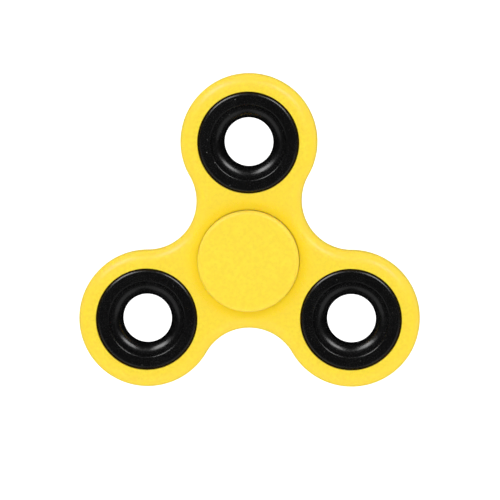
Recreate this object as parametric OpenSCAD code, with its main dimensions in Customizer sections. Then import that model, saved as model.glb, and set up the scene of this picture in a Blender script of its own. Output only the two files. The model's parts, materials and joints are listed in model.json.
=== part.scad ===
// Fidget spinner: a three-lobed rotor with a ring weight in each lobe, which turns on a
// deep-groove ball bearing of the 608 size between two finger caps.
// The spin axis is +Z, the origin is the centre of the bearing, and one lobe points along +Y.

/* [Body] */
// Distance from the spin axis to each lobe's centre, in steps that keep lobes and scoops exactly tangent
lobe_distance = 25.6168; // [25.0764:0.2702:26.6976]
// Outer radius of a lobe
lobe_r = 14.85; // [14.6:0.05:16]
// Thickness of the body
body_h = 7; // [6.6:0.1:8]
// Radius of the rounding along the body's outer edges
body_edge_r = 2.4; // [1:0.1:3]

/* [Ring weights] */
// Outer radius of a ring weight, and of its seat in the lobe
weight_r = 11; // [10.5:0.1:11.5]
// Height of a ring weight over its two flanges
weight_h = 7; // [6.8:0.1:8]
// Radius of the hole through a ring weight
weight_bore_r = 5.3; // [5:0.1:5.6]
// Length of the straight wall in the middle of that hole
weight_land_h = 0.9; // [0.5:0.1:1.2]
// Radius of the round nose between the hole and the step
weight_nose_r = 2.4; // [2:0.1:2.5]
// Inner radius of the raised outer flange
flange_inner_r = 8.1; // [8.1:0.1:8.4]
// Radius of the rounding on the flange's inner edge
flange_inner_edge_r = 0.35; // [0.2:0.05:0.5]
// Radius of the rounding on the flange's outer edge
flange_outer_edge_r = 0.85; // [0.3:0.05:1]

/* [Bearing] */
// Outer radius of the bearing
bearing_r = 11; // [10.8:0.1:11.2]
// Radius of the bearing's bore
bearing_bore_r = 4; // [3.8:0.1:4.1]
// Width of the bearing
bearing_w = 7; // [7:0.1:7.4]
// Radius of the circle that the ball centres lie on
pitch_r = 7.5; // [7.4:0.05:7.6]
// Diameter of a ball
ball_d = 3.969; // [3.9:0.001:3.969]
// Play between a ball and the bottom of each raceway
ball_play = 0.03; // [0.02:0.01:0.06]
// Radius of the inner race's shoulders
inner_shoulder_r = 6.05; // [5.9:0.05:6.1]
// Radius of the outer race's shoulders
outer_shoulder_r = 8.95; // [8.9:0.05:9.1]
// Thickness of the cage's sheet steel
cage_t = 0.35; // [0.25:0.05:0.4]
// Thickness of a dust shield
shield_t = 0.25; // [0.2:0.05:0.25]
// Angle of the opening in a snap ring
snap_gap = 20; // [10:5:40]

/* [Finger caps] */
// Radius of a cap's disc
cap_r = 11; // [10:0.1:11]
// Height of the spinner over both caps
overall_h = 12; // [11:0.1:14]
// Gap between a cap's disc and the bearing's side face
cap_gap = 0.45; // [0.3:0.05:0.8]
// Radius of the rounding on the edge of a cap's face
cap_edge_r = 0.85; // [0.3:0.05:1]
// Radius of the step under a cap that rests on the inner race
boss_r = 5.6; // [5:0.1:5.7]
// Depth of a cap's stem in the bearing's bore
stem_depth = 3.2; // [2:0.1:3.4]
// Radius of the hollow in a cap's stem
stem_hollow_r = 2.6; // [2:0.1:3]

/* [Hidden] */
$fn = 96;
LOBES = 3;
BALLS = 7;
BALL_NAMES = [for (i = [1:BALLS]) str("ball_", i)];

// Between two lobes the edge is a scoop: a hollow arc that runs smoothly into both lobes.
// The centres of the lobes and of the scoops take turns round a regular hexagon.
hex_step = 180 / LOBES;
scoop_r = lobe_distance - lobe_r;
lobe_spots = [for (i = [0:LOBES - 1]) 2 * i];
scoop_spots = [for (i = [0:LOBES - 1]) 2 * i + 1];
function hex_angle(i) = 90 + i * hex_step;
function hex_spot(i) = lobe_distance * [cos(hex_angle(i)), sin(hex_angle(i))];
// How much of a circle each arc of the outline spans
lobe_span = 240;
scoop_span = 120;
// The edge strips reach a little into the core plate and into the weights' seats
strip_overlap = 0.5;
core_margin = body_edge_r + strip_overlap;
scoop_strip = core_margin + strip_overlap;
lobe_strip = lobe_r - weight_r + 2 * strip_overlap;

// The weight's step is where its nose is highest
weight_crown_z = weight_land_h / 2 + weight_nose_r;

// Raceways are a little wider than the balls
groove_ratio = 0.52;
race_groove_r = groove_ratio * ball_d;
outer_groove_x = pitch_r + ball_d / 2 + ball_play - race_groove_r;
inner_groove_x = pitch_r - ball_d / 2 - ball_play + race_groove_r;
race_edge_r = 0.3;

// The inner race has a low step on each side, which leaves room for the shield's lip
inner_step_w = 0.25;
inner_step_h = 0.9;
inner_rim_r = inner_shoulder_r - inner_step_w;
inner_rim_z = bearing_w / 2 - inner_step_h;

// The shield lies on a step in the outer race, and the snap ring holds it there
shield_inset = 0.75;
shield_seat_w = 0.6;
shield_gap = 0.15;
edge_play = 0.05;
shield_z = bearing_w / 2 - shield_inset;
shield_inner_r = inner_shoulder_r + shield_gap;
shield_outer_r = outer_shoulder_r + shield_seat_w;
shield_seat_r = shield_outer_r + edge_play;
shield_lip_w = 0.25;
shield_lip_h = 0.2;
snap_play = 0.03;
snap_t = 0.24;
snap_w = 0.8;
snap_z = shield_z + shield_t + snap_play;
snap_inner_r = outer_shoulder_r + edge_play;
snap_outer_r = snap_inner_r + snap_w;
snap_groove_r = snap_outer_r + edge_play;
snap_groove_h = snap_t + 2 * snap_play;

// Two cage halves, each with a dome over every ball
pocket_play = 0.095;
cage_half_w = 0.75;
pocket_r = ball_d / 2 + pocket_play;
cage_inner_r = pitch_r - cage_half_w;
cage_outer_r = pitch_r + cage_half_w;
ball_step = 360 / BALLS;
function ball_angle(i) = 90 + (i - 1) * ball_step;
rivet_shank_r = 0.4;
rivet_head_r = 0.62;
rivet_top_r = 0.43;
rivet_head_h = 0.22;

cap_top_z = overall_h / 2;
cap_under_z = bearing_w / 2 + cap_gap;
cap_under_edge_r = 0.3;
stem_end_z = bearing_w / 2 - stem_depth;
stem_lead = 0.4;

// How far a cutting shape reaches past the surface it cuts
cut = 1;

// ---------- helpers ----------

// What a rounding of radius r takes off a corner at the origin, with material below and left of it
module corner_cut(r) {
    translate([-r, -r]) difference() {
        square(r + cut);
        circle(r);
    }
}

// Section of a plate of height h that reaches from x = -depth to a rounded edge at x = 0
module rounded_strip(depth, h, edge_r) {
    difference() {
        translate([-depth, -h / 2]) square([depth, h]);
        both_sides() translate([0, h / 2]) corner_cut(edge_r);
    }
}

// Draws a section as it is, and again turned over
module both_sides() {
    for (side = [0, 1]) mirror([0, side]) children();
}

// Places children at the centre of every ball, or half-way between two balls with an offset of 0.5
module at_balls(offset = 0) {
    for (i = [1:BALLS])
        rotate(ball_angle(i + offset)) translate([pitch_r, 0, 0]) children();
}

// Turns children over to the rear side
module turned_over() {
    mirror([0, 0, 1]) children();
}

// ---------- rotor body ----------

// The rounded edge strip round lobe i
module lobe_edge(i) {
    translate(hex_spot(i)) rotate_extrude(angle = lobe_span, start = hex_angle(i) - lobe_span / 2)
        translate([lobe_r, 0]) rounded_strip(lobe_strip, body_h, body_edge_r);
}

// The rounded edge strip along scoop i
module scoop_edge(i) {
    translate(hex_spot(i)) rotate_extrude(angle = scoop_span, start = hex_angle(i) + 180 - scoop_span / 2)
        translate([scoop_r, 0]) mirror([1, 0]) rounded_strip(scoop_strip, body_h, body_edge_r);
}

// The plate inside the edge strips
module body_core() {
    translate([0, 0, -body_h / 2]) linear_extrude(body_h) difference() {
        polygon([for (i = [0:2 * LOBES - 1]) hex_spot(i)]);
        for (i = scoop_spots)
            translate(hex_spot(i)) circle(scoop_r + core_margin);
    }
}

module body_frame() {
    color([0.99, 0.87, 0.2]) difference() {
        union() {
            body_core();
            for (i = lobe_spots) lobe_edge(i);
            for (i = scoop_spots) scoop_edge(i);
        }
        cylinder(r = bearing_r, h = body_h + 2 * cut, center = true);
        for (i = lobe_spots)
            translate(hex_spot(i)) cylinder(r = weight_r, h = body_h + 2 * cut, center = true);
    }
}

// ---------- ring weights ----------

// Section of a weight: nose beside the hole, step, and raised flange, the same on both sides
module weight_section() {
    difference() {
        polygon([
            [weight_bore_r, -weight_crown_z],
            [flange_inner_r, -weight_crown_z],
            [flange_inner_r, -weight_h / 2],
            [weight_r, -weight_h / 2],
            [weight_r, weight_h / 2],
            [flange_inner_r, weight_h / 2],
            [flange_inner_r, weight_crown_z],
            [weight_bore_r, weight_crown_z]
        ]);
        both_sides() {
            translate([weight_r, weight_h / 2]) corner_cut(flange_outer_edge_r);
            translate([flange_inner_r, weight_h / 2]) mirror([1, 0]) corner_cut(flange_inner_edge_r);
            translate([weight_bore_r, weight_crown_z]) mirror([1, 0]) corner_cut(weight_nose_r);
        }
    }
}

module weight_ring(lobe) {
    color([0.05, 0.05, 0.055]) translate(hex_spot(lobe_spots[lobe])) rotate_extrude() weight_section();
}

module weight_ring_top() {
    weight_ring(0);
}

module weight_ring_left() {
    weight_ring(1);
}

module weight_ring_right() {
    weight_ring(2);
}

// ---------- bearing ----------

module bearing_outer_race() {
    color([0.72, 0.73, 0.75]) rotate_extrude() difference() {
        translate([bearing_r, 0])
            rounded_strip(bearing_r - outer_shoulder_r, bearing_w, race_edge_r);
        translate([outer_groove_x, 0]) circle(race_groove_r);
        both_sides() translate([outer_shoulder_r - cut, shield_z])
            square([shield_seat_r - outer_shoulder_r + cut, bearing_w]);
        both_sides() translate([outer_shoulder_r - cut, snap_z - snap_play])
            square([snap_groove_r - outer_shoulder_r + cut, snap_groove_h]);
    }
}

module bearing_inner_race() {
    color([0.78, 0.79, 0.81]) rotate_extrude() difference() {
        translate([bearing_bore_r, -bearing_w / 2])
            square([inner_shoulder_r - bearing_bore_r, bearing_w]);
        translate([inner_groove_x, 0]) circle(race_groove_r);
        both_sides() translate([inner_rim_r, inner_rim_z]) square([cut, bearing_w]);
        both_sides() polygon([
            [bearing_bore_r - cut, bearing_w / 2 + cut],
            [bearing_bore_r - cut, bearing_w / 2 - race_edge_r - cut],
            [bearing_bore_r + race_edge_r + cut, bearing_w / 2 + cut]
        ]);
    }
}

module ball(i) {
    color([0.9, 0.91, 0.93]) rotate(ball_angle(i)) translate([pitch_r, 0, 0]) sphere(d = ball_d);
}

// The half of the cage that lies above z = 0
module cage_half() {
    color([0.62, 0.6, 0.55]) difference() {
        intersection() {
            rotate_extrude() translate([cage_inner_r, 0])
                square([cage_outer_r - cage_inner_r, pocket_r + cage_t + cut]);
            union() {
                cylinder(r = cage_outer_r + cut, h = cage_t);
                at_balls() sphere(pocket_r + cage_t);
            }
        }
        at_balls() sphere(pocket_r);
        at_balls(0.5) cylinder(r = rivet_shank_r, h = 2 * cut, center = true);
    }
}

module cage_front_half() {
    cage_half();
}

module cage_rear_half() {
    turned_over() cage_half();
}

// Rivets half-way between the balls
module cage_rivets() {
    color([0.7, 0.68, 0.62]) at_balls(0.5) rotate_extrude() both_sides() polygon([
        [0, 0],
        [rivet_shank_r, 0],
        [rivet_shank_r, cage_t],
        [rivet_head_r, cage_t],
        [rivet_top_r, cage_t + rivet_head_h],
        [0, cage_t + rivet_head_h]
    ]);
}

// The front shield, with a lip that points inwards beside the inner race
module shield() {
    color([0.8, 0.81, 0.83]) rotate_extrude() {
        translate([shield_inner_r, shield_z])
            square([shield_outer_r - shield_inner_r, shield_t]);
        translate([shield_inner_r, shield_z - shield_lip_h])
            square([shield_lip_w, shield_lip_h + shield_t / 2]);
    }
}

module front_shield() {
    shield();
}

module rear_shield() {
    turned_over() shield();
}

module snap_ring() {
    color([0.55, 0.56, 0.58]) rotate_extrude(angle = 360 - snap_gap, start = snap_gap / 2)
        translate([snap_inner_r, snap_z]) square([snap_outer_r - snap_inner_r, snap_t]);
}

module front_snap_ring() {
    snap_ring();
}

module rear_snap_ring() {
    rotate(180) turned_over() snap_ring();
}

// ---------- finger caps ----------

// Section of the front cap: disc, boss on the inner race, hollow stem
module cap_section() {
    difference() {
        polygon([
            [0, cap_top_z],
            [cap_r, cap_top_z],
            [cap_r, cap_under_z],
            [boss_r, cap_under_z],
            [boss_r, bearing_w / 2],
            [bearing_bore_r, bearing_w / 2],
            [bearing_bore_r, stem_end_z + stem_lead],
            [bearing_bore_r - stem_lead / 2, stem_end_z],
            [stem_hollow_r, stem_end_z],
            [stem_hollow_r, cap_under_z],
            [0, cap_under_z]
        ]);
        translate([cap_r, cap_top_z]) corner_cut(cap_edge_r);
        translate([cap_r, cap_under_z]) mirror([0, 1]) corner_cut(cap_under_edge_r);
    }
}

module cap() {
    color([0.99, 0.88, 0.24]) rotate_extrude() cap_section();
}

module front_cap() {
    cap();
}

module rear_cap() {
    turned_over() cap();
}

// ---------- nodes ----------

body_frame();
weight_ring_top();
weight_ring_left();
weight_ring_right();
bearing_outer_race();
bearing_inner_race();
for (i = [1:BALLS])
    ball(i);
cage_front_half();
cage_rear_half();
cage_rivets();
front_shield();
rear_shield();
front_snap_ring();
rear_snap_ring();
front_cap();
rear_cap();
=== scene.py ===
"""Looks of the fidget spinner: finely rounded body, ring weights and finger caps round the CAD bearing,
with procedural plastic, paint and steel, on a table that glows white."""

import json
import math

import bmesh
import bpy
from mathutils import Matrix, Vector


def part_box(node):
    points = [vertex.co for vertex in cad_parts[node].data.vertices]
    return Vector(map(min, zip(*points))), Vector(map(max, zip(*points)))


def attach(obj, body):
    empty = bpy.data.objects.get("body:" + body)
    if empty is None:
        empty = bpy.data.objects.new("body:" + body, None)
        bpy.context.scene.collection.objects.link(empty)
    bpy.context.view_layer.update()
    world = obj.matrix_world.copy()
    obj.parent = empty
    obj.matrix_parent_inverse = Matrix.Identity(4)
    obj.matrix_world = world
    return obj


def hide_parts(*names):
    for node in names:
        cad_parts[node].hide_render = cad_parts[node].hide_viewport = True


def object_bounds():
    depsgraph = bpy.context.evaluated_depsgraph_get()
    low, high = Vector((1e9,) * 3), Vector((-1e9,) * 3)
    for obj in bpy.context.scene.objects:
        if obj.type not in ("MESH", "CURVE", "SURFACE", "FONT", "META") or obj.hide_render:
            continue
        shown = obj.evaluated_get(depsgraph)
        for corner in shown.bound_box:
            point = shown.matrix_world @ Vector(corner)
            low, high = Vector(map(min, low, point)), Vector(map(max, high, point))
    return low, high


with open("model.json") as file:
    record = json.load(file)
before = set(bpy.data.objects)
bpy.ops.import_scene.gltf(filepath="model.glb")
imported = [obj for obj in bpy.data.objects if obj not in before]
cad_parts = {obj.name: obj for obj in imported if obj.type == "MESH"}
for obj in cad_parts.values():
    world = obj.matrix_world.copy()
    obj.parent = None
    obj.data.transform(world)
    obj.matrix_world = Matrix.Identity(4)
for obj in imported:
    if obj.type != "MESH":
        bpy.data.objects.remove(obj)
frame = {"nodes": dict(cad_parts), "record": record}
cad_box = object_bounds()
MM = 0.001
ORIGIN = Vector((0, 0, 0))

# ---------- sizes from the CAD frame ----------

_, body_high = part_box("body_frame")
ring_low, ring_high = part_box("weight_ring_top")
cap_low, cap_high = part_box("front_cap")
_, race_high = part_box("bearing_outer_race")
mounts = {mount["name"]: mount for mount in frame["record"]["mounts"]}
ring_hole = mounts["ring_hole_top"]["dims"]

BODY_TOP = body_high.z
RING_R = (ring_high.x - ring_low.x) / 2
RING_TOP = ring_high.z
RING_HOLE_R = ring_hole["r_mm"] * MM
RING_LAND = ring_hole["length_mm"] / 2 * MM
LOBE_DISTANCE = (ring_high.y + ring_low.y) / 2
LOBE_R = body_high.y - LOBE_DISTANCE
SCOOP_R = LOBE_DISTANCE - LOBE_R
BEARING_R = race_high.x
BEARING_TOP = race_high.z
CAP_R = cap_high.x
CAP_TOP = cap_high.z
STEM_END = cap_low.z

# ---------- sizes that the frame doesn't hold ----------

BODY_EDGE_R = 2.4 * MM
SEAT_CHAMFER = 0.12 * MM
PARTING_DEPTH = 0.05 * MM
PARTING_HALF_W = 0.09 * MM
PLATE_MARGIN = 0.2 * MM

RING_NOSE_R = 2.4 * MM
RING_CROWN = RING_LAND + RING_NOSE_R
FLANGE_INNER_R = 8.1 * MM
FLANGE_INNER_EDGE = 0.35 * MM
FLANGE_OUTER_EDGE = 0.85 * MM

CAP_GAP = 0.45 * MM
CAP_UNDER = BEARING_TOP + CAP_GAP
CAP_EDGE = 0.85 * MM
CAP_UNDER_EDGE = 0.3 * MM
BOSS_R = 5.6 * MM
BORE_R = 4 * MM
STEM_HOLLOW_R = 2.6 * MM
STEM_LEAD = 0.4 * MM

LATHE_STEPS = 256
LOBE_STEPS = 160
SCOOP_STEPS = 64
FILLET_STEPS = 14
SHARP_ANGLE = 32
MERGE_DISTANCE = 1e-7
NO_AREA = 1e-16


# ---------- mesh helpers ----------

def arc(centre, radius, start, end, steps):
    """Points of an arc in a section, angles in degrees, both ends included."""
    angles = [math.radians(start + (end - start) * i / steps) for i in range(steps + 1)]
    return [(centre[0] + radius * math.cos(a), centre[1] + radius * math.sin(a)) for a in angles]


def circle(centre, radius, steps):
    """Points round a circle."""
    turns = [2 * math.pi * step / steps for step in range(steps)]
    return [centre + radius * Vector((math.cos(a), math.sin(a), 0)) for a in turns]


def both_sides(section):
    """A section from the front face to the mid-plane, carried on to the rear face."""
    return section + [(place, -z) for place, z in reversed(section)]


def smooth_object(bm, name):
    """Turns a bmesh into a smooth-shaded object."""
    for face in bm.faces:
        face.smooth = True
    mesh = bpy.data.meshes.new(name)
    bm.to_mesh(mesh)
    bm.free()
    made = bpy.data.objects.new(name, mesh)
    bpy.context.scene.collection.objects.link(made)
    return made


def give_attribute(piece, name, rule):
    """Stores rule(place) for each vertex, for the materials to read."""
    values = piece.data.attributes.new(name, "FLOAT", "POINT")
    values.data.foreach_set("value", [rule(vertex.co) for vertex in piece.data.vertices])


def finished(bm, name, wear):
    """Cleans a piece's mesh. wear gives how exposed each vertex is, from 0 to 1; on the plastic this mask
    also carries a painted edge sheen.
    """
    bmesh.ops.remove_doubles(bm, verts=bm.verts, dist=MERGE_DISTANCE)
    bmesh.ops.recalc_face_normals(bm, faces=bm.faces)
    piece = smooth_object(bm, name)
    give_attribute(piece, "exposed", wear)
    piece.data.set_sharp_from_angle(angle=math.radians(SHARP_ANGLE))
    return piece


def turned(bm, section, centre, steps):
    """Columns of vertices of a section of (radius, height) points, turned round the Z axis through centre."""
    columns = []
    for step in range(steps):
        turn = 2 * math.pi * step / steps
        direction = Vector((math.cos(turn), math.sin(turn), 0))
        columns.append([bm.verts.new(centre + direction * r + Vector((0, 0, z))) for r, z in section])
    return columns


def lathe(name, section, centre, wear):
    """A solid turned from a closed section."""
    bm = bmesh.new()
    columns = turned(bm, section, centre, LATHE_STEPS)
    for step, column in enumerate(columns):
        following = columns[(step + 1) % LATHE_STEPS]
        for i in range(len(section)):
            j = (i + 1) % len(section)
            on_axis = section[i][0] == 0 and section[j][0] == 0
            if not on_axis:
                bm.faces.new([column[i], column[j], following[j], following[i]])
    bmesh.ops.remove_doubles(bm, verts=bm.verts, dist=MERGE_DISTANCE)
    flat = [face for face in bm.faces if face.calc_area() < NO_AREA]
    bmesh.ops.delete(bm, geom=flat, context="FACES")
    return finished(bm, name, wear)


# ---------- body ----------

# Lobes and scoops take turns round a hexagon, and the first spot is a lobe
HEX = [math.radians(90 + 60 * i) for i in range(6)]
LOBE_SPOTS = (0, 2, 4)
LOBE_SPAN = math.radians(240)
SCOOP_SPAN = math.radians(120)
WEAR_AND_SHEEN_GAIN = 3


def hex_spot(i):
    """Centre of lobe or scoop i."""
    return Vector((LOBE_DISTANCE * math.cos(HEX[i]), LOBE_DISTANCE * math.sin(HEX[i]), 0))


def outline(offset):
    """The body's outline moved inwards by offset, as points in order round the body."""
    points = []
    for i, heading in enumerate(HEX):
        if i in LOBE_SPOTS:
            radius, steps, middle, span = LOBE_R - offset, LOBE_STEPS, heading, LOBE_SPAN
        else:
            radius, steps, middle, span = SCOOP_R + offset, SCOOP_STEPS, heading + math.pi, -SCOOP_SPAN
        for step in range(steps):
            a = middle - span / 2 + span * step / steps
            points.append(hex_spot(i) + radius * Vector((math.cos(a), math.sin(a), 0)))
    return points


def ring_of_verts(bm, points, z):
    return [bm.verts.new((p.x, p.y, z)) for p in points]


def bridge(bm, first, second):
    """Quads between two closed rings of vertices with the same count."""
    for i in range(len(first)):
        j = (i + 1) % len(first)
        bm.faces.new([first[i], first[j], second[j], second[i]])


def bridged_rings(bm, rings):
    """Joins rings of vertices one after the other, and gives the first and the last."""
    for first, second in zip(rings, rings[1:]):
        bridge(bm, first, second)
    return rings[0], rings[-1]


def edges_round(bm, ring):
    return [bm.edges.get((ring[i], ring[(i + 1) % len(ring)])) for i in range(len(ring))]


def seats():
    """Centre and radius of the seats of the weights and of the bearing."""
    return [(hex_spot(i), RING_R) for i in LOBE_SPOTS] + [(ORIGIN, BEARING_R)]


def body_piece():
    """The moulded body: rounded rim with a faint parting line, and four seats with broken edges."""
    bm = bmesh.new()
    rim = [(BODY_EDGE_R + PLATE_MARGIN, BODY_TOP)]
    rim += [(BODY_EDGE_R - r, BODY_TOP - BODY_EDGE_R + z)
            for r, z in arc((0, 0), BODY_EDGE_R, 90, 0, FILLET_STEPS)]
    rim += [(0, PARTING_HALF_W)]
    rim += [(PARTING_DEPTH, 0)] + [(offset, -z) for offset, z in reversed(rim)]
    borders = [bridged_rings(bm, [ring_of_verts(bm, outline(offset), z) for offset, z in rim])]
    for centre, radius in seats():
        profile = both_sides([
            (radius + SEAT_CHAMFER + PLATE_MARGIN, BODY_TOP),
            (radius + SEAT_CHAMFER, BODY_TOP),
            (radius, BODY_TOP - SEAT_CHAMFER),
        ])
        walls = [ring_of_verts(bm, circle(centre, r, LATHE_STEPS), z) for r, z in profile]
        borders.append(bridged_rings(bm, walls))
    for face_borders in zip(*borders):
        edges = [edge for ring in face_borders for edge in edges_round(bm, ring)]
        bmesh.ops.triangle_fill(bm, use_beauty=True, use_dissolve=False, edges=edges)
    piece = finished(bm, "spinner_body", body_wear_and_sheen)
    give_attribute(piece, "seat_painted_shade", body_seat_painted_shade)
    return piece


def body_wear_and_sheen(co):
    """Edge mask for edge wear and the painted sheen: 1 along the rounded rim and the seat edges, 0 on the
    flat faces.
    """
    return min(1.0, max(0.0, (BODY_TOP - abs(co.z)) / BODY_EDGE_R) * WEAR_AND_SHEEN_GAIN)


def body_seat_painted_shade(co):
    """Mask of the painted shade in the seams: 1 on the walls of the seats, 0 elsewhere."""
    flat = Vector((co.x, co.y, 0))
    return float(any((flat - centre).length < radius + SEAT_CHAMFER / 2 for centre, radius in seats()))


# ---------- ring weights ----------

RING_WEAR_DEPTH = 0.3 * MM


def ring_section():
    """Section of a ring weight, hole wall first, then over the front and back round the outside."""
    nose_centre = (RING_HOLE_R + RING_NOSE_R, RING_LAND)
    inner_centre = (FLANGE_INNER_R + FLANGE_INNER_EDGE, RING_TOP - FLANGE_INNER_EDGE)
    outer_centre = (RING_R - FLANGE_OUTER_EDGE, RING_TOP - FLANGE_OUTER_EDGE)
    top = arc(nose_centre, RING_NOSE_R, 180, 90, 2 * FILLET_STEPS)
    top += [(FLANGE_INNER_R, RING_CROWN)]
    top += arc(inner_centre, FLANGE_INNER_EDGE, 180, 90, FILLET_STEPS)
    top += arc(outer_centre, FLANGE_OUTER_EDGE, 90, 0, FILLET_STEPS)
    return both_sides(top)


def ring_wear(co):
    """1 on the flange's two edges and on the nose beside the hole."""
    return min(1.0, max(0.0, (RING_TOP - abs(co.z)) / RING_WEAR_DEPTH))


# ---------- finger caps ----------

CAP_WEAR_AND_SHEEN_GAIN = 2


def cap_section():
    """Section of the front cap from the middle of its face to the end of its stem."""
    face_centre = (CAP_R - CAP_EDGE, CAP_TOP - CAP_EDGE)
    under_centre = (CAP_R - CAP_UNDER_EDGE, CAP_UNDER + CAP_UNDER_EDGE)
    section = [(0, CAP_TOP), (CAP_R / 2, CAP_TOP), (CAP_R - CAP_EDGE - PLATE_MARGIN, CAP_TOP)]
    section += arc(face_centre, CAP_EDGE, 90, 0, FILLET_STEPS)
    section += arc(under_centre, CAP_UNDER_EDGE, 0, -90, FILLET_STEPS)
    section += [(BOSS_R, CAP_UNDER), (BOSS_R, BEARING_TOP), (BORE_R, BEARING_TOP)]
    section += [(BORE_R, STEM_END + STEM_LEAD), (BORE_R - STEM_LEAD / 2, STEM_END)]
    section += [(STEM_HOLLOW_R, STEM_END), (STEM_HOLLOW_R, CAP_UNDER), (0, CAP_UNDER)]
    return section


def cap_wear_and_sheen(co):
    """Edge mask for edge wear and the painted sheen: 1 on the rounded edge of the cap's face."""
    return min(1.0, max(0.0, (CAP_TOP - abs(co.z)) / CAP_EDGE) * CAP_WEAR_AND_SHEEN_GAIN)


# ---------- materials ----------

slots = {slot["slot"]: slot["base_color"] for slot in frame["record"]["materials"]}


def shade(colour, *factors):
    """The colour with its channels scaled, none above 1."""
    return [min(1.0, c * f) for c, f in zip(colour, factors)]


class Paint:
    """A node material that is built up step by step on one Principled shader."""

    def __init__(self, name, roughness, metallic=0.0, specular=0.5):
        self.material = bpy.data.materials.new(name)
        self.material.use_nodes = True
        self.tree = self.material.node_tree
        self.shader = self.tree.nodes["Principled BSDF"]
        self.shader.inputs["Metallic"].default_value = metallic
        self.shader.inputs["Roughness"].default_value = roughness
        self.shader.inputs["Specular IOR Level"].default_value = specular
        self.place = self.node("ShaderNodeTexCoord").outputs["Object"]
        self.normal = None

    def node(self, kind, **settings):
        made = self.tree.nodes.new(kind)
        for key, value in settings.items():
            setattr(made, key, value)
        return made

    def link(self, source, target):
        self.tree.links.new(source, target)

    def noise(self, size, detail=3.0, rough=0.55, place=None):
        """Noise from 0 to 1 whose blotches are about size metres across."""
        made = self.node("ShaderNodeTexNoise")
        made.inputs["Scale"].default_value = 1 / size
        made.inputs["Detail"].default_value = detail
        made.inputs["Roughness"].default_value = rough
        self.link(place or self.place, made.inputs["Vector"])
        return made.outputs["Fac"]

    def ramp(self, source, low=0.3, high=0.7, out_low=0.0, out_high=1.0):
        """Maps source from the range low..high to out_low..out_high, with smooth ends."""
        made = self.node("ShaderNodeMapRange", interpolation_type="SMOOTHSTEP")
        made.inputs["From Min"].default_value = low
        made.inputs["From Max"].default_value = high
        made.inputs["To Min"].default_value = out_low
        made.inputs["To Max"].default_value = out_high
        self.link(source, made.inputs["Value"])
        return made.outputs["Result"]

    def math(self, operation, first, second):
        made = self.node("ShaderNodeMath", operation=operation)
        for socket, value in zip(made.inputs, (first, second)):
            if isinstance(value, (int, float)):
                socket.default_value = value
            else:
                self.link(value, socket)
        return made.outputs["Value"]

    def mix(self, amount, first, second):
        """Colour mix; first and second are RGB lists or colour sockets."""
        made = self.node("ShaderNodeMix", data_type="RGBA")
        self.link(amount, made.inputs["Factor"])
        for socket, value in ((made.inputs[6], first), (made.inputs[7], second)):
            if isinstance(value, (list, tuple)):
                socket.default_value = [*value, 1.0]
            else:
                self.link(value, socket)
        return made.outputs[2]

    def attribute(self, name):
        return self.node("ShaderNodeAttribute", attribute_name=name).outputs["Fac"]

    def bump(self, height, distance):
        """Adds a bump of that height, in metres, over the ones before."""
        made = self.node("ShaderNodeBump")
        made.inputs["Strength"].default_value = 1.0
        made.inputs["Distance"].default_value = distance
        self.link(height, made.inputs["Height"])
        if self.normal is not None:
            self.link(self.normal, made.inputs["Normal"])
        self.normal = made.outputs["Normal"]
        self.link(self.normal, self.shader.inputs["Normal"])

    def axes(self):
        """The X, Y and Z of the place."""
        split = self.node("ShaderNodeSeparateXYZ")
        self.link(self.place, split.inputs["Vector"])
        return split.outputs

    def reach(self):
        """Distance from the spin axis."""
        x, y, _ = self.axes()
        squares = self.math("ADD", self.math("MULTIPLY", x, x), self.math("MULTIPLY", y, y))
        return self.math("POWER", squares, 0.5)

    def colour(self, source):
        self.link(source, self.shader.inputs["Base Color"])

    def roughness(self, source):
        self.link(source, self.shader.inputs["Roughness"])


# The plastic of body and caps
PLASTIC_SPECULAR = 0.9
PLASTIC_SHEEN = (1.0, 0.25, 0.95)
SUBSURFACE = 0.5
DEPTH = 1.0 * MM
DEPTH_COLOURS = (1.0, 0.6, 0.12)
MOTTLE_SIZE = 1.6 * MM
MOTTLE_DARK = (0.99, 0.975, 0.9)
MOTTLE_LIGHT = (1.0, 1.01, 1.1)
FLOW_SIZE = 14 * MM
FLOW_SHARE = 0.5
FLOW_SHADE = (0.99, 0.975, 0.92)
SPECK_SIZE = 0.7 * MM
SPECK_RANGE = (0.36, 0.64)
SPECK_SHARE = 0.8
SPECK_SHADE = (0.9, 0.9, 0.8)
SPECK_DEPTH = 0.006 * MM
GRAIN_SIZE = 0.16 * MM
GRAIN_RANGE = (0.25, 0.75)
GRAIN_SPREAD = 0.05
# Painted reflection on the rounded edges: they gain blue and lose green, as a pale sheen
EDGE_SHEEN_GREEN = 0.96
EDGE_POLISH = 0.04
# Painted shade in the seams where the weights and the bearing sit in the body
SEAT_PAINTED_SHADE = (0.12, 0.07, 0.05)
# Painted shade in the crevice round the cap: the colour deepens from CREVICE_R in to the cap's edge
CREVICE_R = 14.5 * MM
CREVICE_PAINTED_SHADE = (1.0, 0.94, 0.3)
CREVICE_POLISH = 0.16


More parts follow.
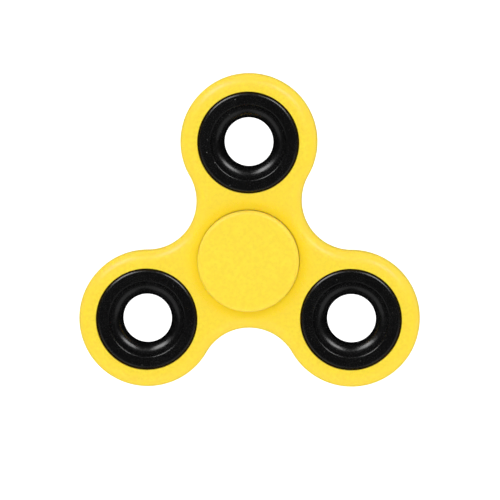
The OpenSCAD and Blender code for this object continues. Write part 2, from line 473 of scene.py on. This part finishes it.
def plastic(name, roughness, grain_depth, edge_sheen_blue, crevice_from=None):
    """Spark-textured moulded plastic: fine grain, faint mottling, and smoother edges with a painted pale
    sheen.
    edge_sheen_blue is how much blue the painted edge sheen adds. Painted shade: the colour deepens from
    CREVICE_R in to crevice_from."""
    base = slots[name]
    paint = Paint(name, roughness, specular=PLASTIC_SPECULAR)
    paint.shader.inputs["Specular Tint"].default_value = (*PLASTIC_SHEEN, 1.0)
    paint.shader.inputs["Subsurface Weight"].default_value = SUBSURFACE
    paint.shader.inputs["Subsurface Scale"].default_value = DEPTH
    paint.shader.inputs["Subsurface Radius"].default_value = DEPTH_COLOURS
    mottle = paint.ramp(paint.noise(MOTTLE_SIZE, detail=4.0))
    flow = paint.ramp(paint.noise(FLOW_SIZE, detail=2.0))
    speck = paint.ramp(paint.noise(SPECK_SIZE, detail=2.0), *SPECK_RANGE)
    grain = paint.noise(GRAIN_SIZE, detail=2.0)
    tone = paint.mix(mottle, shade(base, *MOTTLE_DARK), shade(base, *MOTTLE_LIGHT))
    tone = paint.mix(paint.math("MULTIPLY", flow, FLOW_SHARE), tone, shade(base, *FLOW_SHADE))
    tone = paint.mix(paint.math("MULTIPLY", speck, SPECK_SHARE), tone, shade(base, *SPECK_SHADE))
    # Painted shade: the walls of the seats are darkened, for the shadow in the seam between body and weights
    tone = paint.mix(paint.attribute("seat_painted_shade"), tone, shade(base, *SEAT_PAINTED_SHADE))
    edge = paint.attribute("exposed")
    spread = paint.ramp(grain, *GRAIN_RANGE, roughness + GRAIN_SPREAD, roughness - GRAIN_SPREAD)
    spread = paint.math("SUBTRACT", spread, paint.math("MULTIPLY", edge, EDGE_POLISH))
    # Painted shade: near the cap the body turns a darker, more saturated yellow, for the shade and yellow
    # bounce light of the crevice
    if crevice_from is not None:
        nearness = paint.ramp(paint.reach(), CREVICE_R, crevice_from)
        tone = paint.mix(nearness, tone, shade(base, *CREVICE_PAINTED_SHADE))
        spread = paint.math("SUBTRACT", spread, paint.math("MULTIPLY", nearness, CREVICE_POLISH))
    red, green, blue = base
    # Painted reflection: the rounded edges are tinted paler, for the sheen of the bright surroundings
    paint.colour(paint.mix(edge, tone, [red, EDGE_SHEEN_GREEN * green, blue + edge_sheen_blue]))
    paint.roughness(spread)
    paint.bump(grain, grain_depth)
    paint.bump(speck, SPECK_DEPTH)
    return paint.material


# The coating of the ring weights
PEEL_SIZE = 0.7 * MM
PEEL_SPREAD = 0.03
PEEL_DEPTH = 0.0015 * MM
HAZE_SIZE = 5 * MM
HAZE_RANGE = (0.3, 0.75)
HAZE_SHADE = (1.3, 1.3, 1.3)
HAZE_SPREAD = 0.03
SCUFF_SIZE = 0.9 * MM
SCUFF_RANGE = (0.55, 0.75)
SCUFF_SHARE = 0.25
SCUFF_COLOUR = (0.02, 0.02, 0.021)
DUST_SIZE = 0.55 * MM
DUST_RANGE = (0.77, 0.8)
DUST_SHARE = 0.5
DUST_COLOUR = (0.2, 0.2, 0.19)


def ring_paint(name, roughness):
    """Black semi-gloss coating: orange peel, fine dust specks and thinner paint along the edges."""
    base = slots[name]
    paint = Paint(name, roughness, specular=1.0)
    peel = paint.noise(PEEL_SIZE)
    haze = paint.ramp(paint.noise(HAZE_SIZE), *HAZE_RANGE)
    dust = paint.ramp(paint.noise(DUST_SIZE, detail=1.0), *DUST_RANGE)
    wear = paint.ramp(paint.noise(SCUFF_SIZE, detail=5.0), *SCUFF_RANGE)
    scuff = paint.math("MULTIPLY", paint.attribute("exposed"), wear)
    tone = paint.mix(haze, base, shade(base, *HAZE_SHADE))
    tone = paint.mix(paint.math("MULTIPLY", scuff, SCUFF_SHARE), tone, SCUFF_COLOUR)
    tone = paint.mix(paint.math("MULTIPLY", dust, DUST_SHARE), tone, DUST_COLOUR)
    paint.colour(tone)
    spread = paint.ramp(peel, out_low=roughness - PEEL_SPREAD, out_high=roughness + PEEL_SPREAD)
    paint.roughness(paint.math("ADD", spread, paint.math("MULTIPLY", haze, HAZE_SPREAD)))
    paint.bump(peel, PEEL_DEPTH)
    return paint.material


# The steel of the bearing
LINE_SIZE = 0.12 * MM
LINE_SMOOTHER = 0.06
LINE_ROUGHER = 0.08
LINE_DEPTH = 0.003 * MM
STAIN_SIZE = 2.2 * MM
STAIN_RANGE = (0.35, 0.75)
STAIN_SHADE = (0.86, 0.86, 0.86)
STAIN_SPREAD = 0.05


def steel(name, roughness, lines=True):
    """Steel with faint staining. With lines, it is ground: fine turning lines run round the spin axis."""
    base = slots[name]
    paint = Paint(name, roughness, metallic=1.0)
    place = paint.place
    if lines:
        across = paint.node("ShaderNodeCombineXYZ")
        paint.link(paint.reach(), across.inputs["X"])
        paint.link(paint.axes()[2], across.inputs["Y"])
        place = across.outputs["Vector"]
    line = paint.noise(LINE_SIZE, detail=4.0, rough=0.5, place=place)
    stain = paint.ramp(paint.noise(STAIN_SIZE, detail=4.0), *STAIN_RANGE)
    paint.colour(paint.mix(stain, base, shade(base, *STAIN_SHADE)))
    spread = paint.ramp(line, out_low=roughness - LINE_SMOOTHER, out_high=roughness + LINE_ROUGHER)
    paint.roughness(paint.math("ADD", spread, paint.math("MULTIPLY", stain, STAIN_SPREAD)))
    paint.bump(line, LINE_DEPTH)
    return paint.material


looks = {
    "body_plastic": plastic("body_plastic", roughness=0.36, grain_depth=0.010 * MM, edge_sheen_blue=0.018,
                            crevice_from=CAP_R),
    "cap_plastic": plastic("cap_plastic", roughness=0.45, grain_depth=0.014 * MM, edge_sheen_blue=0.034),
    "weight_paint": ring_paint("weight_paint", roughness=0.24),
    "race_steel": steel("race_steel", roughness=0.28),
    "ball_steel": steel("ball_steel", roughness=0.1, lines=False),
    "cage_steel": steel("cage_steel", roughness=0.38, lines=False),
    "shield_steel": steel("shield_steel", roughness=0.3),
    "spring_steel": steel("spring_steel", roughness=0.35),
}


# ---------- pieces ----------

def dress(piece, slot, body, node):
    """Gives a new piece its material and its place in the frame, in the stead of a CAD node."""
    piece.data.materials.append(looks[slot])
    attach(piece, body)
    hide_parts(node)


RING_NODES = ("weight_ring_top", "weight_ring_left", "weight_ring_right")

dress(body_piece(), "body_plastic", "rotor", "body_frame")
for node in RING_NODES:
    low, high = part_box(node)
    ring = lathe(node + "_turned", ring_section(), (low + high) / 2, ring_wear)
    dress(ring, "weight_paint", "rotor", node)
cap = lathe("front_cap_moulded", cap_section(), ORIGIN, cap_wear_and_sheen)
dress(cap, "cap_plastic", "hub", "front_cap")
rear = lathe("rear_cap_moulded", [(r, -z) for r, z in cap_section()], ORIGIN, cap_wear_and_sheen)
dress(rear, "cap_plastic", "hub", "rear_cap")

replaced = {"body_frame", "front_cap", "rear_cap", *RING_NODES}
for part in frame["record"]["subparts"]:
    if part["node"] not in replaced:
        node = frame["nodes"][part["node"]]
        for material_slot in node.material_slots:
            material_slot.material = looks[part["material_slot"]]

# ---------- studio ----------

TABLE_Z = cad_box[0].z
TABLE_R = 1.9
TABLE_COLOUR = (0.1, 0.1, 0.1)
TABLE_GLOW = 1.25
WALL_R = 2.4
WALL_H = 0.6
WALL_COLOUR = (0.85, 0.85, 0.85)
WALL_GLOW = 0.6
CARD_ROUGHNESS = 0.6
CARD_SPECULAR = 0.2
FIBRE_SIZE = 2 * MM
FIBRE_SHADE = (0.985, 0.985, 0.985)
STAGE_STEPS = 96
BEND_STEPS = 16
SKY = (0.5, 0.5, 0.5)


def studio_material(name, colour, glow):
    """Card with a faint fibre, which also glows white like the panel of a light table."""
    card = Paint(name, CARD_ROUGHNESS, specular=CARD_SPECULAR)
    fibre = card.ramp(card.noise(FIBRE_SIZE, detail=4.0))
    card.colour(card.mix(fibre, colour, shade(colour, *FIBRE_SHADE)))
    card.shader.inputs["Emission Color"].default_value = (1, 1, 1, 1)
    card.shader.inputs["Emission Strength"].default_value = glow
    return card.material


def stage(name, section, colour, glow, filled=False):
    """A table or wall turned round the Z axis from an open section, and filled inside its first point."""
    bm = bmesh.new()
    columns = turned(bm, section, ORIGIN, STAGE_STEPS)
    for step, column in enumerate(columns):
        following = columns[(step + 1) % STAGE_STEPS]
        for i in range(len(section) - 1):
            bm.faces.new([column[i], following[i], following[i + 1], column[i + 1]])
    if filled:
        bm.faces.new([column[0] for column in columns])
    bmesh.ops.recalc_face_normals(bm, faces=bm.faces)
    made = smooth_object(bm, name)
    made.visible_glossy = False
    made.data.materials.append(studio_material(name + "_card", colour, glow))


table_section = [(TABLE_R / 2, TABLE_Z), (TABLE_R, TABLE_Z)]
bend = arc((TABLE_R, TABLE_Z + WALL_R - TABLE_R), WALL_R - TABLE_R, -90, 0, BEND_STEPS)
stage("table", table_section, TABLE_COLOUR, TABLE_GLOW, filled=True)
stage("backdrop", bend + [(WALL_R, TABLE_Z + WALL_H)], WALL_COLOUR, WALL_GLOW)

LIGHT_DISTANCE = 1.25
LIGHT_TILT = 47
LIGHT_SWING = 36
LIGHT_WIDTH = 0.5
LIGHT_HEIGHT = 0.55
LEFT_TILT = 52
LEFT_HEIGHT = 0.75
RIGHT_TILT = 44
SHEEN_POWER = 3.3
KEY_POWER = 1.9
REFLECTOR_SWING = 42
REFLECTOR_WIDTH = 1.2
REFLECTOR_HEIGHT = 0.9
REFLECTOR_POWER = 0.9
FILL_SIZE = 1.1
FILL_POWER = 3.3
OVERHEAD_SIZE = 0.8
OVERHEAD_POWER = 6.1


def softbox(name, swing, tilt, width, height, power, gives):
    """Soft area light that looks at the spinner and gives only "gloss" or only "diffuse" light.
    swing is from +Y towards +X and tilt from the vertical, in degrees."""
    swing, tilt = math.radians(swing), math.radians(tilt)
    light = bpy.data.lights.new(name, "AREA")
    light.shape = "RECTANGLE"
    light.size = width
    light.size_y = height
    light.energy = power
    lamp = bpy.data.objects.new(name, light)
    away = Vector((math.sin(swing) * math.sin(tilt), math.cos(swing) * math.sin(tilt), math.cos(tilt)))
    lamp.location = away * LIGHT_DISTANCE
    lamp.rotation_euler = away.to_track_quat("Z", "Y").to_euler()
    lamp.visible_glossy = gives == "gloss"
    lamp.visible_diffuse = gives == "diffuse"
    lamp.visible_camera = False
    bpy.context.scene.collection.objects.link(lamp)


def side_lights(side, turn, tilt, height):
    """The lamps of one side, where turn is -1 on the left and 1 on the right.
    tilt and height are those of the softbox that draws the sheen."""
    swing = turn * LIGHT_SWING
    softbox("sheen_" + side, swing, tilt, LIGHT_WIDTH, height, SHEEN_POWER * height / LIGHT_HEIGHT, "gloss")
    softbox("key_" + side, swing, LIGHT_TILT, LIGHT_WIDTH, LIGHT_HEIGHT, KEY_POWER, "diffuse")
    softbox("reflector_" + side, 180 - turn * REFLECTOR_SWING, LIGHT_TILT,
            REFLECTOR_WIDTH, REFLECTOR_HEIGHT, REFLECTOR_POWER, "gloss")


side_lights("left", -1, LEFT_TILT, LEFT_HEIGHT)
side_lights("right", 1, RIGHT_TILT, LIGHT_HEIGHT)
softbox("overhead", 0, 0, OVERHEAD_SIZE, OVERHEAD_SIZE, OVERHEAD_POWER, "diffuse")
softbox("fill", 180, LIGHT_TILT, FILL_SIZE, FILL_SIZE, FILL_POWER, "diffuse")

world = bpy.data.worlds.new("studio")
bpy.context.scene.world = world
world.use_nodes = True
world.node_tree.nodes["Background"].inputs["Color"].default_value = [*SKY, 1.0]
world.cycles_visibility.glossy = False
bpy.context.scene.view_settings.view_transform = "Standard"

# ---------- camera ----------

CAMERA_DISTANCE = 1.2
CAMERA_LEAN_X = math.radians(3.0)
CAMERA_LEAN_Y = math.radians(4.9)
CAMERA_ROLL = math.radians(-0.16)
FRAME_WIDTH = 108.6 * MM
AIM = Vector((0.15, 2.02, 0)) * MM

camera_data = bpy.data.cameras.new("camera")
camera_data.sensor_width = 36
camera_data.lens = camera_data.sensor_width * CAMERA_DISTANCE / FRAME_WIDTH
camera_data.clip_start = 0.01
camera_data.clip_end = 10
camera = bpy.data.objects.new("camera", camera_data)
back = Vector((math.tan(CAMERA_LEAN_X), math.tan(CAMERA_LEAN_Y), 1)).normalized()
upright = Vector((-math.sin(CAMERA_ROLL), math.cos(CAMERA_ROLL), 0))
across = upright.cross(back).normalized()
camera.location = AIM + back * CAMERA_DISTANCE
camera.rotation_euler = Matrix((across, back.cross(across), back)).transposed().to_euler()
bpy.context.scene.collection.objects.link(camera)
bpy.context.scene.camera = camera
